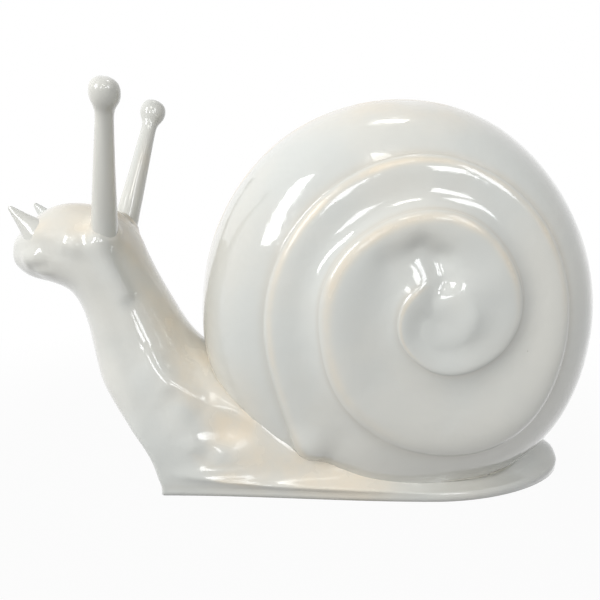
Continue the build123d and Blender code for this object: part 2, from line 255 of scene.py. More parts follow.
# %% [markdown]
# The section of a whorl
#
# Seen across the coil, a whorl lies on a dome. It leaves the groove within it along a hollow curve, rises gently,
# and rolls over a lip into the groove outside it. The hollow curve is what catches the long bright reflections.
# The last whorl is a quarter of an ellipse that ends square to the middle plane. Near the tip the lip fades out,
# so that the groove begins from nothing, as in the photograph. Where the strip ends, at the shell's mouth, the
# hollow and the depth fade to nothing as well, and the body's foot hides that fold.

# %% Whorl bands
SHELL_HALF_WIDTH = 123.0
SHELL_CROWN = 6.0
DOME = 1.055 * SHELL_RADIUS
BAND_POINTS = 34
FOOT_SHARE = 0.135
LIP_SHARE = 0.045
FOOT_REACH = 0.30
LIP_REACH = 0.045
LAST_FOOT_REACH = 0.18
DOME_DROP = 3.0
MOUTH_FROM = 950.0
MOUTH_TO = 971.0
GROOVE_GROWS_FROM = TIP_ANGLE - 4
GROOVE_GROWS_TO = TIP_ANGLE + 36
LIP_FADE_FROM = 0.08
LIP_FADE_TO = 0.92
EVEN_SPACING = 0.4
POLE_RADIUS = 0.8


def dome_depth(radius):
    """Depth of the dome under the whorls: an ellipse over the shell's side."""
    return (SHELL_HALF_WIDTH - SHELL_CROWN - DOME_DROP) * np.sqrt(np.clip(1 - (radius / DOME) ** 2, 0, None))


def groove_strength(angle):
    """How strongly the groove shows at a total angle: nothing at the tip, full a little later."""
    return smooth_step(GROOVE_GROWS_FROM, GROOVE_GROWS_TO, angle)


def groove_foot(angle):
    """How far the groove's line stands above the dome: a share of the width of the whorl inside it."""
    width = edge_radius(angle) - edge_radius(angle - 360)
    return FOOT_SHARE * width * groove_strength(angle) * (1 - smooth_step(MOUTH_FROM, MOUTH_TO, angle))


def whorl_bands(angle, share):
    """Radius and depth for each angle and each share of the way across a whorl, from its inner to its outer edge.

    The radius goes from the edge curve at this angle to the edge curve one turn later. The depth is the dome's
    plus a hollow foot, which falls off exponentially from the inner edge, plus a lip, which rises exponentially
    from the outer edge and fades towards the inner one. The last turn is a quarter ellipse.
    """
    inner = edge_radius(angle)[:, None]
    outer = edge_radius(angle + 360)[:, None]
    width = outer - inner
    open_inner = 1 - smooth_step(MOUTH_FROM, MOUTH_TO, angle)[:, None]
    last = smooth_step(MOUTH_FROM, MOUTH_TO, angle + 360)[:, None]
    inner_foot = groove_foot(angle)[:, None]
    outer_foot = groove_foot(angle + 360)[:, None]
    fade = 1 - smooth_step(LIP_FADE_FROM, LIP_FADE_TO, 1 - share)
    lip = LIP_SHARE * width * groove_strength(angle + 360)[:, None] * (1 - np.exp((share - 1) / LIP_REACH))
    flat_radius = inner + width * share
    flat_radius = np.where(flat_radius < POLE_RADIUS, 0.0, flat_radius)
    flat_depth = dome_depth(flat_radius) + (outer_foot + lip) * fade
    flat_depth += inner_foot * np.exp(-share / FOOT_REACH) * (1 - share)
    quarter = 0.5 * np.pi * share
    round_radius = inner + width * np.sin(quarter)
    round_depth = dome_depth(inner) * np.cos(quarter)
    round_depth += inner_foot * np.exp(-share / LAST_FOOT_REACH) * (1 - share)
    radius = (1 - last) * flat_radius + last * round_radius
    depth = (1 - last) * flat_depth + last * round_depth * open_inner
    return radius, depth


even = np.linspace(0, 1, BAND_POINTS + 1)[None, :]
share = EVEN_SPACING * even + (1 - EVEN_SPACING) * (0.5 - 0.5 * np.cos(np.pi * even))
radius, depth = whorl_bands(band_angles, share)
turn = np.radians(band_angles)[:, None]
band_x = SHELL_CENTRE[0] + radius * np.cos(turn)
band_z = SHELL_CENTRE[2] + radius * np.sin(turn)
band = np.stack([band_x, -depth, band_z], axis=2)
print("deepest point of a whorl in mm", float(depth.max().round(1)))

# %% [markdown]
# Hand work on the shell
#
# Low waves make the long reflections wander. A few named swellings, in millimetres, follow the photograph: the
# hollow round the coil's tip, the two full places of the core, and a fill where the outer groove runs into the
# foot. All of it fades out at the coil's middle and at the rim, so that the edges still meet. The points
# themselves are moved, and not only the bump, so that the silhouette and the mesh itself have the hand work too.

# %% Shell hand work
SHELL_WAVES = [(0.5, 110.0, 11), (0.22, 42.0, 12)]
SHELL_SANDED_OFF = 0.35
MIDDLE_FADE = 40.0
RIM_FADE = 25.0
shell_places = {
    "hollow left of the tip": ((76, -114, 240), (104, -114, 250), 14, -3.0),
    "hollow over the tip": ((104, -114, 250), (119, -115, 241), 12, -4.5),
    "hollow right of the tip": ((119, -115, 241), (125, -116, 222), 10, -4.0),
    "hollow under the tip": ((125, -116, 222), (117, -116, 207), 7, -2.0),
    "core, right": ((150, -116, 212), (150, -116, 196), 24, 6.5),
    "core, below": ((126, -116, 186), (140, -116, 180), 22, 4.5),
    "fill beside the foot": ((8, -85, 58), (30, -87, 38), 16, 7.0),
}
along = np.gradient(band, axis=0)
across = np.gradient(band, axis=1)
facing = np.cross(across, along)
facing /= np.maximum(np.linalg.norm(facing, axis=2, keepdims=True), TINY)
facing *= np.where(facing[..., 1:2] > 0, -1.0, 1.0)
shell_lift = all_waves(band, SHELL_WAVES) - SHELL_SANDED_OFF
shell_lift += swellings(band, shell_places)
shell_lift *= smooth_step(0, MIDDLE_FADE, radius) * smooth_step(0, RIM_FADE, depth)
band = band + facing * shell_lift[..., None]
print("largest hand work on the shell in mm", float(np.abs(shell_lift).max().round(2)))

# %% [markdown]
# Where the shell has yellowed, and its painted highlights
#
# The coat is cream on the crown and beside the neck, where it has yellowed. Cream on the lips and grooves of the
# upper and left whorls, where the light falls, is a painted highlight. The grooves are also darker. Both are soft
# masks between 0 and 1. They are stored with the points, because they follow the shell's own lips and grooves,
# which a pattern in space does not know.

# %% Shell masks
LIP_PLACE = 0.90
LIP_WIDTH = 0.07
VALLEY_WIDTH = 0.05
CROWN_FROM = 340.0
CROWN_FULL = 385.0
NECK_PLACE = -85.0
NECK_REACH = 45.0
NECK_FULL_BELOW = 60.0
NECK_UP_TO = 160.0
upper = smooth_step(-0.15, 0.75, np.sin(turn))
left_side = smooth_step(0.2, -0.9, np.cos(turn))
lip = np.exp(-(((share - LIP_PLACE) / LIP_WIDTH) ** 2)) * groove_strength(band_angles + 360)[:, None]
valley = np.exp(-((share / VALLEY_WIDTH) ** 2)) * groove_strength(band_angles)[:, None]
crown = smooth_step(CROWN_FROM, CROWN_FULL, band[..., 2])
near_neck = np.exp(-(((band[..., 0] - NECK_PLACE) / NECK_REACH) ** 2))
near_neck *= smooth_step(NECK_UP_TO, NECK_FULL_BELOW, band[..., 2])
# Cream on the lips and grooves of the upper and left whorls is a painted highlight; on the crown and neck it is
# yellowing.
stains_and_highlights = (0.8 * lip * upper, 0.35 * valley * upper, 0.6 * crown, 0.45 * lip * left_side, 0.7 * near_neck)
shell_cream_and_highlight = np.clip(sum(stains_and_highlights), 0, 1)
print("mean cream on the shell", float(shell_cream_and_highlight.mean().round(3)))

# %% [markdown]
# From a strip to a closed shell
#
# The outer edge of each turn uses the very points of the next turn's inner edge, so the coil has no gaps. The
# mirrored side meets the first along the rim, where the doubled points are merged. The lowest part is hidden in
# the foot, and is levelled there.

# %% Shell skin
FLOOR_IN_FOOT = 9.5
columns = len(band_angles)
own_rim = columns - 1 - columns_per_turn
index = np.arange(columns * BAND_POINTS).reshape(columns, BAND_POINTS)
rim_index = columns * BAND_POINTS + np.arange(columns - own_rim - 1)
outer_index = np.concatenate([index[columns_per_turn:, 0], rim_index])
index = np.concatenate([index, outer_index[:, None]], axis=1)
side_faces = index_faces(index)
last_column = np.s_[own_rim + 1 :, -1]
shell_side = np.concatenate([band[:, :-1].reshape(-1, 3), band[last_column]])
shell_side[columns * BAND_POINTS :, 1] = 0.0
shell_side[index[-1], 1] = 0.0
shell_side[:, 2] = np.maximum(shell_side[:, 2], FLOOR_IN_FOOT)
cream_side = np.concatenate([shell_cream_and_highlight[:, :-1].ravel(), shell_cream_and_highlight[last_column]])
crease_side = np.concatenate([valley[:, :-1].ravel(), valley[last_column]])
shell_skin = skin(
    "shell_skin",
    np.concatenate([shell_side, shell_side * MIRROR]),
    np.concatenate([side_faces, side_faces[:, ::-1] + len(shell_side)]),
    {"cream": np.tile(cream_side, 2), "crease": np.tile(crease_side, 2)},
)
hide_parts("shell_left", "shell_right")

# %% [markdown]
# The body: foot, neck and head in one sweep
#
# The body is a stack of tilted sections. Each lies in a plane from a front point to a back point, and its half
# outline is three curves: a front, a side and a back. The sections lie flat at the foot and turn upright at the
# head. A row holds the front point (x, z), the back point (x, z), the half widths at the front and back corners,
# and how far along the section those corners lie, all as shares. Apart from a steeper flank of the foot and a
# fuller snout, the solid has the same shares, so the skin lies on it. Sculpting would give the same outline, but
# rows of shares can be read and changed one by one.

# %% Body sections
RIM_HEIGHT = 8.0
FRONT_POINTS = 18
SIDE_POINTS = 24
BACK_POINTS = 26
ROWS_PER_STATION = 14
station_shares = np.array(
    [
        (-0.250, 0.000, 0.483, 0.000, 0.870, 0.995, 0.02, 0.64),
        (-0.260, 0.043, 0.447, 0.058, 0.870, 0.930, 0.03, 0.15),
        (-0.278, 0.123, 0.290, 0.109, 0.860, 0.855, 0.05, 0.28),
        (-0.305, 0.196, 0.102, 0.174, 0.830, 0.810, 0.09, 0.46),
        (-0.338, 0.268, -0.034, 0.275, 0.770, 0.790, 0.20, 0.66),
        (-0.365, 0.348, -0.140, 0.384, 0.700, 0.730, 0.32, 0.64),
        (-0.379, 0.442, -0.195, 0.475, 0.620, 0.640, 0.40, 0.60),
        (-0.387, 0.536, -0.239, 0.630, 0.570, 0.570, 0.42, 0.58),
        (-0.396, 0.612, -0.273, 0.772, 0.540, 0.540, 0.42, 0.58),
        (-0.410, 0.663, -0.309, 0.928, 0.540, 0.540, 0.42, 0.58),
        (-0.427, 0.688, -0.353, 0.989, 0.520, 0.520, 0.42, 0.58),
        (-0.452, 0.707, -0.410, 1.004, 0.470, 0.470, 0.42, 0.58),
        (-0.483, 0.725, -0.457, 0.975, 0.385, 0.385, 0.42, 0.58),
        (-0.505, 0.757, -0.493, 0.913, 0.260, 0.260, 0.42, 0.58),
        (-0.515, 0.787, -0.512, 0.878, 0.170, 0.170, 0.42, 0.58),
    ]
)


def cubic_curve(points, share):
    """Curve drawn by four control points, weighted by the four terms of (rest plus share) cubed, for every row."""
    rest = 1 - share
    weights = (rest**3, 3 * rest**2 * share, 3 * rest * share**2, share**3)
    return sum(point[:, None] * weight for point, weight in zip(points, weights))


def half_outline(length, front_width, back_width, corner, widest):
    """Distance along the section and half width: a front curve, a side and a back curve, for every row."""
    zero = np.zeros_like(length)
    start = corner * length
    end = widest * length
    third = (end - start) / 3
    front = np.linspace(0, 1, FRONT_POINTS)[None, :-1]
    side = np.linspace(0, 1, SIDE_POINTS)[None, :-1]
    back = np.linspace(0, 1, BACK_POINTS)[None, :]
    along = [
        cubic_curve((zero, zero, 0.5 * start, start), front),
        cubic_curve((start, start + third, end - third, end), side),
        cubic_curve((end, 0.5 * (end + length), length, length), back),
    ]
    width = [
        cubic_curve((zero, (1 - corner) * front_width, front_width, front_width), front),
        cubic_curve((front_width, front_width, back_width, back_width), side),
        cubic_curve((back_width, back_width, 0.5 * back_width, zero), back),
    ]
    return np.concatenate(along, axis=1), np.concatenate(width, axis=1)


def section_points(rows):
    """Closed outline of each row in space: the left half from front to back, then the right half returning."""
    rise = CROWN_HEIGHT - RIM_HEIGHT
    front = np.stack([rows[:, 0] * BODY_LENGTH, RIM_HEIGHT + rows[:, 1] * rise], axis=1)
    back = np.stack([rows[:, 2] * BODY_LENGTH, RIM_HEIGHT + rows[:, 3] * rise], axis=1)
    length = np.linalg.norm(back - front, axis=1)
    half_widths = rows[:, 4:6] * FOOT_HALF_WIDTH
    along, width = half_outline(length, half_widths[:, 0], half_widths[:, 1], rows[:, 6], rows[:, 7])
    direction = (back - front) / length[:, None]
    x = front[:, :1] + direction[:, :1] * along
    z = front[:, 1:] + direction[:, 1:] * along
    left = np.stack([x, -width, z], axis=2)
    right = left[:, -2:0:-1] * MIRROR
    return np.concatenate([left, right], axis=1)


stations = len(station_shares)
row_places = np.linspace(0, stations - 1, ROWS_PER_STATION * (stations - 1) + 1)
row_shares = natural_spline(np.arange(stations), station_shares, row_places)
body_rows = section_points(row_shares)
print("body rows", body_rows.shape)

# %% [markdown]
# Rounding the snout and closing the foot
#
# The last sections shrink to one point, as the quarter of a circle does, so that the snout is round. Below, the
# rim goes straight down to the floor and turns in under the foot, and a shallow recess takes the sole board.

# %% Snout and underside
ROUND_FROM = 13.0
PLATE_THICKNESS = 6.0
PLATE_INSET = 14.0
PLATE_CLEARANCE = 0.3
rounded = np.clip((row_places - ROUND_FROM) / (stations - 1 - ROUND_FROM), 0, 1)[:, None, None]
shrink = np.sqrt(1 - rounded**2)
middles = body_rows.mean(axis=1, keepdims=True)
body_rows = np.where(rounded > 0, middles + (body_rows - middles) * shrink, body_rows)

rim = body_rows[:1]
floor = rim * np.array([1.0, 1.0, 0.0])
middle = floor.mean(axis=1, keepdims=True)
reach = np.linalg.norm(floor - middle, axis=2, keepdims=True)
inner = middle + (floor - middle) * (1 - PLATE_INSET / reach)
recess = inner + np.array([0.0, 0.0, PLATE_THICKNESS + PLATE_CLEARANCE])
pole = np.repeat(recess.mean(axis=1, keepdims=True), recess.shape[1], axis=1)
underside = np.concatenate([pole, 0.5 * (pole + recess), recess, inner, floor, 0.5 * (rim + floor)], axis=0)
body_points = np.concatenate([underside, body_rows], axis=0)
print("rows with the underside", body_points.shape[0])

# %% [markdown]
# Hand work on the body
#
# A hand-laid and sanded form is never quite even, and that is what makes the reflections wander. Low waves move
# each point along its normal by a fraction of a millimetre. A few named swellings, in millimetres, follow the
# photograph: the cheek, the ridge behind the eye stalk, the mouth's crease and the lumps where the neck meets the
# foot. Modelling them as one sum keeps the surface smooth where two of them overlap.

# %% Hand work
body_places = {
    "brow": ((-262, -38, 259), (-211, -47, 260), 6.5, 0.8),
    "crease at the stalk": ((-208, -48, 260), (-194, -50, 253), 4.5, -1.8),
    "cheek": ((-230, -49, 247), (-224, -50, 245), 10, 3.2),
    "snout": ((-264, -41, 233), (-272, -37, 231), 9, 3.8),
    "mouth's crease": ((-268, -38, 225), (-252, -43, 226), 4.5, -1.4),
    "chin": ((-262, -39, 219), (-256, -41, 221), 7, 2.4),
    "neck ridge": ((-201, -47, 247), (-175, -52, 200), 8.5, 5.0),
    "chest hollow": ((-90, -74, 92), (-70, -78, 76), 32, -7.0),
    "chest lump, front": ((-119, -79, 82), (-111, -82, 60), 14, 3.4),
    "chest lump, middle": ((-104, -83, 50), (-92, -84, 56), 10, 2.4),
    "chest lump, back": ((-79, -84, 46), (-62, -84, 51), 12, 3.8),
    "filler along the shell": ((-56, -82, 100), (-16, -87, 64), 13, 4.5),
    "edge of the neck": ((-151, -62, 140), (-136, -68, 111), 9, 1.8),
    "crack, upper": ((-108, -84, 44), (-82, -88, 22), 4, -0.9),
    "crack, lower": ((-82, -88, 22), (-50, -90, 14), 4, -0.7),
}
BODY_WAVES = [(0.55, 95.0, 3), (0.22, 38.0, 4)]
RESTLESS_CHEST = ((-140, -66, 110), (-60, -80, 60), 45, 0.9)
CHEST_WAVES = [(1.0, 34.0, 5)]
outside = body_points[len(underside) :]
lift = all_waves(outside, BODY_WAVES)
lift += swelling(outside, *RESTLESS_CHEST) * all_waves(outside, CHEST_WAVES)
lift += swellings(outside, body_places)
print("named swellings on the body", len(body_places))

# %% [markdown]
# Filler at the stalks and the shell
#
# On the real piece, filler was smoothed in where the stalks stand on the head and where the shell sits on the
# foot. Its height falls off with the distance from the stalk's side and from the shell. A search tree over the
# shell's faces gives the latter, and it answers one point at a time. The filler is part of the body's skin, so no
# seam shows. The foot's trimmed edge is left alone.

# %% Filler
STALK_FOOT = 12.0
STALK_FILLER = 6.0
STALK_FILLER_REACH = 6.0
STALK_FILLER_FROM = 225.0
STALK_FILLER_FULL = 245.0
SHELL_FILLER = 5.0
SHELL_FILLER_REACH = 13.0
LOW_FILLER = 0.5
LOW_FILLER_UP_TO = 40.0
FULL_FILLER_FROM = 80.0
EDGE_KEPT = 10.0
stalk_base = np.array([-0.332 * BODY_LENGTH, -0.423 * FOOT_HALF_WIDTH, 0.946 * CROWN_HEIGHT])
stalk_axis = np.array([0.198, -0.406, 1.0])


def grid_normals(points):
    """Unit normals of a closed grid: the cross product of its two parameter directions."""
    across = np.roll(points, -1, axis=1) - np.roll(points, 1, axis=1)
    upwards = np.gradient(points, axis=0)
    normal = np.cross(across, upwards)
    return normal / np.maximum(np.linalg.norm(normal, axis=2, keepdims=True), TINY)


left = on_the_left(outside)
height = outside[..., 2]
from_axis = np.linalg.norm(np.cross(left - stalk_base, stalk_axis / np.linalg.norm(stalk_axis)), axis=-1)
stalk_filler = STALK_FILLER * np.exp(-np.maximum(from_axis - STALK_FOOT, 0) / STALK_FILLER_REACH)
lift += stalk_filler * smooth_step(STALK_FILLER_FROM, STALK_FILLER_FULL, height)
shell_tree = BVHTree.FromPolygons(shell_side.tolist(), side_faces.tolist())
gap = np.array([shell_tree.find_nearest(point)[3] for point in left.reshape(-1, 3)]).reshape(lift.shape)
filler_share = LOW_FILLER + (1 - LOW_FILLER) * smooth_step(LOW_FILLER_UP_TO, FULL_FILLER_FROM, height)
lift += SHELL_FILLER * np.exp(-((gap / SHELL_FILLER_REACH) ** 2)) * filler_share
lift *= smooth_step(0, EDGE_KEPT, height - RIM_HEIGHT)
body_points[len(underside) :] = outside + grid_normals(outside) * lift[..., None]
print("largest hand work in mm", float(np.abs(lift).max().round(2)))

# %% [markdown]
# Where the coat has yellowed
#
# The lacquer is cream on the head, in the hollow of the foot and along the nape. Each place is a soft mask that
# is stored with the points, so the colour stays on the surface from any side.

# %% Body skin
CREASE_WIDTH = 5.0
CREASE_ABOVE_RIM = 1.0
CREASE_SHARE = 0.4
stain_places = {
    "chest hollow": ((-98, -64, 112), (-72, -76, 78), 27, 1.6),
    "clean chest lump": ((-118, -80, 80), (-112, -82, 56), 14, -0.8),
    "clean neck ridge": ((-198, -50, 247), (-172, -53, 200), 12, -0.4),
    "clean back lump": ((-76, -84, 46), (-62, -84, 50), 13, -0.8),
    "under the neck's back": ((-130, -30, 150), (-100, -40, 125), 26, 1.0),
    "flank of the foot": ((-60, -86, 40), (60, -90, 20), 26, 0.9),
    "crown of the head": ((-215, 0, 292), (-190, 0, 280), 44, 0.85),
    "brow": ((-262, -36, 262), (-214, -46, 262), 11, 0.5),
    "nape": ((-185, -12, 245), (-150, -20, 190), 30, 0.7),
    "crack, upper": ((-108, -86, 44), (-82, -90, 22), 5, 0.7),
    "crack, lower": ((-82, -90, 22), (-50, -92, 12), 5, 0.7),
}
cream = np.clip(swellings(body_points, stain_places), 0, 1)
height = body_points[..., 2]
# A darker line just above the rim goes into the crease mask.
crease = smooth_step(CREASE_WIDTH, 0.0, np.abs(height - RIM_HEIGHT - CREASE_ABOVE_RIM)) * (height > 1.0)
body_skin = skin(
    "body_skin",
    body_points.reshape(-1, 3),
    ring_faces(body_points),
    {"cream": cream.ravel(), "crease": CREASE_SHARE * crease.ravel()},
)
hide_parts("body_left", "body_right")

# %% [markdown]
# Eye stalks
#
# A stalk is a turned form: a profile carried round a leaning axis. It tapers from the head to a waist and swells
# into a knob. The real ones were cast and fettled by hand, so the knob is a little out of round. The filler at the
# foot of the stalk is already on the body's skin.

# %% Turned pieces
TURN_POINTS = 56
round_angles = 2 * np.pi * np.arange(TURN_POINTS) / TURN_POINTS


def smooth_profile(heights, radii, samples):
    """Heights and radii on a spline through the set ones. Neither passes the tip, where the radius is zero."""
    knots = np.linspace(0, 1, len(heights))
    profile = natural_spline(knots, np.stack([heights, radii], axis=1), np.linspace(0, 1, samples))
    return np.minimum(profile[:, 0], heights[-1]), np.maximum(profile[:, 1], 0.0)[:, None]


def turned(base, axis, heights, radii):
    """Base plus height along the axis plus radius along a ring of directions, with a pole that closes it below."""
    heights = np.concatenate([heights[:1], heights])
    radii = np.concatenate([0 * radii[:1], radii])
    axis = axis / np.linalg.norm(axis)
    across = np.array([axis[2], 0.0, -axis[0]])
    across /= np.linalg.norm(across)
    third = np.cross(axis, across)
    ring = np.cos(round_angles)[:, None] * across + np.sin(round_angles)[:, None] * third
    return base + heights[:, None, None] * axis + radii[..., None] * ring[None]


def pair(nodes, points, cream):
    """A closed turned piece on the left and its mirror image on the right, each in place of its node."""
    cream = np.concatenate([cream[:1], cream])
    masks = {"cream": cream.ravel(), "crease": np.zeros(cream.size)}
    for side_name, placed in (("left", points), ("right", points * MIRROR)):
        piece = skin(f"{nodes}_{side_name}_skin", placed.reshape(-1, 3), ring_faces(points), masks)
        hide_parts(f"{nodes}_{side_name}")


stalk_heights = [-16.0, -8.0, 0.0, 8.0, 30.0, 60.0, 90.0, 104.0, 112.0, 119.0, 126.0, 132.5, 136.5, 138.6, 139.2]
stalk_radii = [13.6, 13.2, 12.8, 12.3, 11.3, 9.9, 8.7, 8.2, 9.2, 12.2, 13.5, 12.5, 9.6, 5.6, 0.0]
STALK_SAMPLES = 110
KNOB_FROM = 108.0
KNOB_TO = 124.0
KNOB_UNROUND = 0.035
STALK_UNROUND = 0.012
STAIN_HEIGHT = 62.0
STAIN_REACH = 26.0
STAIN_SHARE = 0.55
heights, radii = smooth_profile(stalk_heights, stalk_radii, STALK_SAMPLES)
knob = smooth_step(KNOB_FROM, KNOB_TO, heights)[:, None]
unround = 1 + KNOB_UNROUND * knob * np.cos(2 * round_angles + 0.7)
unround = unround + STALK_UNROUND * np.sin(round_angles * 3 + heights[:, None] / 17)
stalk_cream = STAIN_SHARE * np.exp(-(((heights - STAIN_HEIGHT) / STAIN_REACH) ** 2))[:, None]
stalk_cream = stalk_cream * np.clip(np.cos(round_angles - 0.4), 0, 1)
pair("eye_stalk", turned(stalk_base, stalk_axis, heights, radii * unround), stalk_cream)

# %% [markdown]
# Horns
#
# The two horns at the snout are short points that widen towards the head. The cross-section is a circle that is
# drawn in a little on two sides. They are turned by the same helper as the stalks.

# %% Horns
horn_base = np.array([-0.462 * BODY_LENGTH, -0.281 * FOOT_HALF_WIDTH, 0.917 * CROWN_HEIGHT])
horn_axis = np.array([-0.93, -0.11, 1.0])
horn_heights = [-12.0, -6.0, 0.0, 6.0, 14.0, 22.0, 28.0, 30.4, 31.3]
horn_radii = [17.2, 15.2, 13.0, 10.6, 7.6, 4.9, 2.9, 1.7, 0.0]
HORN_SAMPLES = 60
HORN_DRAWN_IN = 0.12
heights, radii = smooth_profile(horn_heights, horn_radii, HORN_SAMPLES)
radii = radii * (1 - HORN_DRAWN_IN * np.sin(round_angles) ** 2)
pair("horn", turned(horn_base, horn_axis, heights, radii), np.zeros(radii.shape))

# %% [markdown]
# The lacquer
#
# The coat is one glossy white paint over everything, so its colour and its flaws are shared by all the skins. A
# node group works them out once: slow clouds of warmer and cooler white, cream where the masks say that the coat
# has yellowed and where they hold a painted highlight, a darker grey-brown in the grooves, a fine orange peel and
# a few pinholes. The group puts out a colour, a roughness, a height and a gloss, which is the share of clear coat
# on top. An image could be painted instead, but a pattern in space has no seams and stays sharp close up.


# %% Node helpers
def new_group(name, inputs, outputs):
    """A shader node group with named sockets, and its input and output nodes."""
    group = bpy.data.node_groups.new(name, "ShaderNodeTree")
    for socket_name, kind, value in inputs:
        socket = group.interface.new_socket(socket_name, in_out="INPUT", socket_type=kind)
        socket.default_value = value
    for socket_name, kind in outputs:
        group.interface.new_socket(socket_name, in_out="OUTPUT", socket_type=kind)
    return group, group.nodes.new("NodeGroupInput"), group.nodes.new("NodeGroupOutput")


def feed(tree, socket, value):
    """Gives a socket a value, or a link from another socket."""
    if isinstance(value, bpy.types.NodeSocket):
        tree.links.new(value, socket)
    else:
        socket.default_value = value


def math_node(tree, operation, first, second):
    """One step of arithmetic on two values or sockets."""
    node = tree.nodes.new("ShaderNodeMath")
    node.operation = operation
    feed(tree, node.inputs[0], first)
    feed(tree, node.inputs[1], second)
    return node.outputs[0]


def scaled(tree, value, factor):
    """A value times a factor."""
    return math_node(tree, "MULTIPLY", value, factor)


def mix_colour(tree, share, first, second):
    """A colour between two colours."""
    node = tree.nodes.new("ShaderNodeMix")
    node.data_type = "RGBA"
    feed(tree, node.inputs["Factor"], share)
    feed(tree, node.inputs[6], first)
    feed(tree, node.inputs[7], second)
    return node.outputs[2]


def noise(tree, place, scale, detail):
    """Soft noise on a place in the object, with a number of details."""
    node = tree.nodes.new("ShaderNodeTexNoise")
    node.inputs["Scale"].default_value = scale
    node.inputs["Detail"].default_value = detail
    tree.links.new(place, node.inputs["Vector"])
    return node.outputs["Fac"]


def ramp(tree, value, low, high, start, end):
    """A value carried from one range to another, smooth at both ends."""
    node = tree.nodes.new("ShaderNodeMapRange")
    node.interpolation_type = "SMOOTHSTEP"
    for socket_name, number in (("From Min", low), ("From Max", high), ("To Min", start), ("To Max", end)):
        node.inputs[socket_name].default_value = number
    tree.links.new(value, node.inputs["Value"])
    return node.outputs["Result"]


def mask(tree, name):
    """A mask that is stored with the points."""
    node = tree.nodes.new("ShaderNodeAttribute")
    node.attribute_name = name
    return node.outputs["Fac"]


def object_place(tree):
    """The place in the object, in metres."""
    return tree.nodes.new("ShaderNodeTexCoord").outputs["Object"]


print("node helpers ready")

# %% Lacquer group
COOL_WHITE = (0.605, 0.617, 0.592, 1.0)
WARM_WHITE = (0.645, 0.638, 0.594, 1.0)
CREAM = (0.775, 0.672, 0.525, 1.0)
CREASE_TONE = (0.50, 0.475, 0.42, 1.0)
PIN = (0.30, 0.27, 0.22, 1.0)
CLOUD_SCALE = 8.0
PATCH_SCALE = 26.0
CREAM_SHARE = 0.75
CREASE_TONE_SHARE = 0.42
lacquer, given, put = new_group(
    "lacquer",
    [("Place", "NodeSocketVector", (0, 0, 0))] + [(name, "NodeSocketFloat", 0.0) for name in ("Cream", "Crease")],
    [("Color", "NodeSocketColor")] + [(name, "NodeSocketFloat") for name in ("Roughness", "Height", "Gloss")],
)
place = given.outputs["Place"]
clouds = ramp(lacquer, noise(lacquer, place, CLOUD_SCALE, 3.0), 0.35, 0.65, 0.0, 1.0)
white = mix_colour(lacquer, clouds, COOL_WHITE, WARM_WHITE)
patches = ramp(lacquer, noise(lacquer, place, PATCH_SCALE, 5.0), 0.3, 0.7, 0.45, 1.15)
# The cream mask holds yellowing, and on the shell's upper and left lips it holds a painted highlight.
yellowing_and_highlight = math_node(lacquer, "MULTIPLY", given.outputs["Cream"], patches)
coat = mix_colour(lacquer, scaled(lacquer, yellowing_and_highlight, CREAM_SHARE), white, CREAM)
# The grooves and a line just above the rim are mixed towards a darker grey-brown.
coat = mix_colour(lacquer, scaled(lacquer, given.outputs["Crease"], CREASE_TONE_SHARE), coat, CREASE_TONE)
print("colour nodes", len(lacquer.nodes))

# %% [markdown]
# Pinholes, orange peel and gloss
#
# Air in the wet coat leaves pinholes. A cell pattern puts one possible hole in each cell, and a random value per
# cell keeps a quarter of them. Sprayed lacquer also dries with a fine peel over a slower ripple, and both go into
# the height. The cream places, the yellowed ones and the painted highlights alike, and the darker grooves are
# duller, and the cream places have lost much of their clear coat.

# %% Lacquer flaws
PINHOLE_SCALE = 34.0
PINHOLE_SHARE = 0.55
PINHOLE_DEPTH = 0.5
PEEL_SCALE = 110.0
PEEL_HEIGHT = 0.11
RIPPLE_SCALE = 40.0
RIPPLE_HEIGHT = 1.15
DULL_SCALE = 19.0
CREASE_DULLS = 0.12
CREAM_DULLS = 0.22
cells = lacquer.nodes.new("ShaderNodeTexVoronoi")
cells.inputs["Scale"].default_value = PINHOLE_SCALE
lacquer.links.new(place, cells.inputs["Vector"])
few = lacquer.nodes.new("ShaderNodeSeparateColor")
lacquer.links.new(cells.outputs["Color"], few.inputs["Color"])
chosen = ramp(lacquer, few.outputs["Red"], 0.74, 0.76, 0.0, 1.0)
hole = ramp(lacquer, cells.outputs["Distance"], 0.016, 0.026, 1.0, 0.0)
pinhole = math_node(lacquer, "MULTIPLY", hole, chosen)
coat = mix_colour(lacquer, scaled(lacquer, pinhole, PINHOLE_SHARE), coat, PIN)
lacquer.links.new(coat, put.inputs["Color"])
peel = scaled(lacquer, noise(lacquer, place, PEEL_SCALE, 2.0), PEEL_HEIGHT)
ripple = scaled(lacquer, noise(lacquer, place, RIPPLE_SCALE, 2.0), RIPPLE_HEIGHT)
bumps = math_node(lacquer, "ADD", peel, ripple)
bumps = math_node(lacquer, "SUBTRACT", bumps, scaled(lacquer, pinhole, PINHOLE_DEPTH))
lacquer.links.new(bumps, put.inputs["Height"])
dull = ramp(lacquer, noise(lacquer, place, DULL_SCALE, 4.0), 0.35, 0.75, 0.09, 0.17)
dull = math_node(lacquer, "ADD", dull, scaled(lacquer, given.outputs["Crease"], CREASE_DULLS))
dull = math_node(lacquer, "ADD", dull, scaled(lacquer, yellowing_and_highlight, CREAM_DULLS))
lacquer.links.new(dull, put.inputs["Roughness"])
lacquer.links.new(ramp(lacquer, yellowing_and_highlight, 0.05, 0.75, 1.0, 0.25), put.inputs["Gloss"])
print("lacquer group nodes", len(lacquer.nodes))

# %% [markdown]
# The coat on each skin
#
# The laminate's coat is wavy and very clear. On the castings it is more even but a little duller, so the same
# group is used in two materials that differ in these two values only.

# %% Lacquer material
LACQUER_IOR = 1.5
BUMP_DISTANCE = 0.0016


